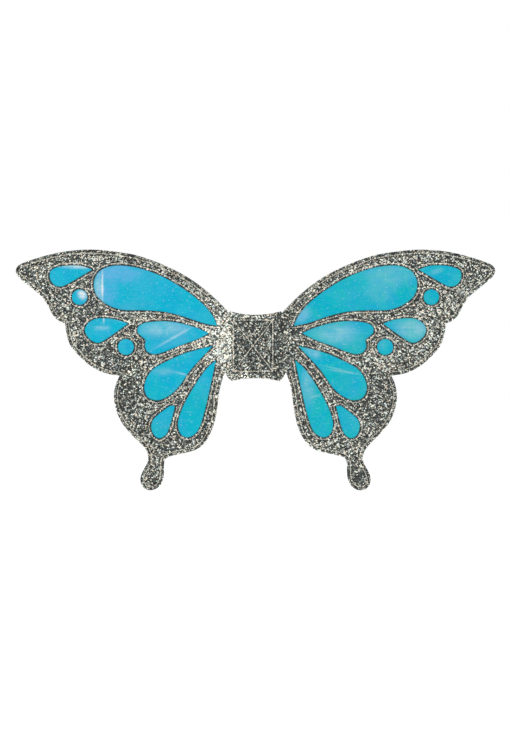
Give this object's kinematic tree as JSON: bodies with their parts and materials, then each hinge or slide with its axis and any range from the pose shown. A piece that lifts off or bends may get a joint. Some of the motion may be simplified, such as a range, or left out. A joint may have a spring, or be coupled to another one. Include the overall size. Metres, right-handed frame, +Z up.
{
  "type": "fairy wings",
  "caption": "Butterfly-shaped costume wings in glitter cloth with turquoise film windows, sewn to a centre band with two elastic arm loops.",
  "frame": {"origin": "middle of the back patch's face that lies on the wearer's back", "axes": "+Y towards the wearer, +Z up, +X to the right as the wings are seen from behind the wearer"},
  "size_m": [0.7676, 0.1016, 0.3855],
  "materials": {
    "glitter_cloth": "chunky silver and charcoal glitter on cloth",
    "film": "glossy turquoise iridescent film",
    "foam": "soft white foam sheet",
    "thread": "cream polyester thread",
    "steel": "bare galvanised wire",
    "felt": "black felt",
    "elastic": "white knitted elastic"
  },
  "bodies": {
    "root": {"band_front": "glitter_cloth", "band_plate": "foam", "band_back": "felt", "left_root_flap": "glitter_cloth", "right_root_flap": "glitter_cloth", "box_seam": "thread", "back_patch": "felt", "left_strap_top_end": "elastic", "left_strap_bottom_end": "elastic", "right_strap_top_end": "elastic", "right_strap_bottom_end": "elastic"},
    "left_wing": {"left_wing_front_skin": "glitter_cloth", "left_wing_film": "film", "left_wing_foam_core": "foam", "left_wing_back_skin": "glitter_cloth", "left_wing_edge_wire": "steel", "left_wing_wire_sleeve": "steel", "left_wing_edge_seam": "thread", "left_wing_tip_teardrop_seam": "thread", "left_wing_large_seam": "thread", "left_wing_middle_teardrop_seam": "thread", "left_wing_heart_seam": "thread", "left_wing_hind_teardrop_seam": "thread", "left_wing_long_teardrop_seam": "thread", "left_wing_tail_teardrop_seam": "thread", "left_wing_tip_dot_seam": "thread", "left_wing_middle_dot_seam": "thread"},
    "right_wing": {"right_wing_front_skin": "glitter_cloth", "right_wing_film": "film", "right_wing_foam_core": "foam", "right_wing_back_skin": "glitter_cloth", "right_wing_edge_wire": "steel", "right_wing_wire_sleeve": "steel", "right_wing_edge_seam": "thread", "right_wing_tip_teardrop_seam": "thread", "right_wing_large_seam": "thread", "right_wing_middle_teardrop_seam": "thread", "right_wing_heart_seam": "thread", "right_wing_hind_teardrop_seam": "thread", "right_wing_long_teardrop_seam": "thread", "right_wing_tail_teardrop_seam": "thread", "right_wing_tip_dot_seam": "thread", "right_wing_middle_dot_seam": "thread"},
    "left_strap": {"left_strap_loop": "elastic"},
    "right_strap": {"right_strap_loop": "elastic"}
  },
  "joints": [
    {"name": "left_wing_fold", "type": "hinge", "parent": "root", "child": "left_wing", "pos_m": [-0.049, -0.0079, 0], "axis": [0, 0, 1], "range_deg": [-10, 90], "stiffness_Nm_per_rad": 0.04},
    {"name": "right_wing_fold", "type": "hinge", "parent": "root", "child": "right_wing", "pos_m": [0.049, -0.0079, 0], "axis": [0, 0, -1], "range_deg": [-10, 90], "stiffness_Nm_per_rad": 0.04},
    {"name": "left_strap_swing", "type": "hinge", "parent": "root", "child": "left_strap", "pos_m": [-0.0435, -0.00195, 0], "axis": [0, 0, 1], "range_deg": [-30, 15], "stiffness_Nm_per_rad": 0.005},
    {"name": "right_strap_swing", "type": "hinge", "parent": "root", "child": "right_strap", "pos_m": [0.0435, -0.00195, 0], "axis": [0, 0, -1], "range_deg": [-30, 15], "stiffness_Nm_per_rad": 0.005}
  ]
}
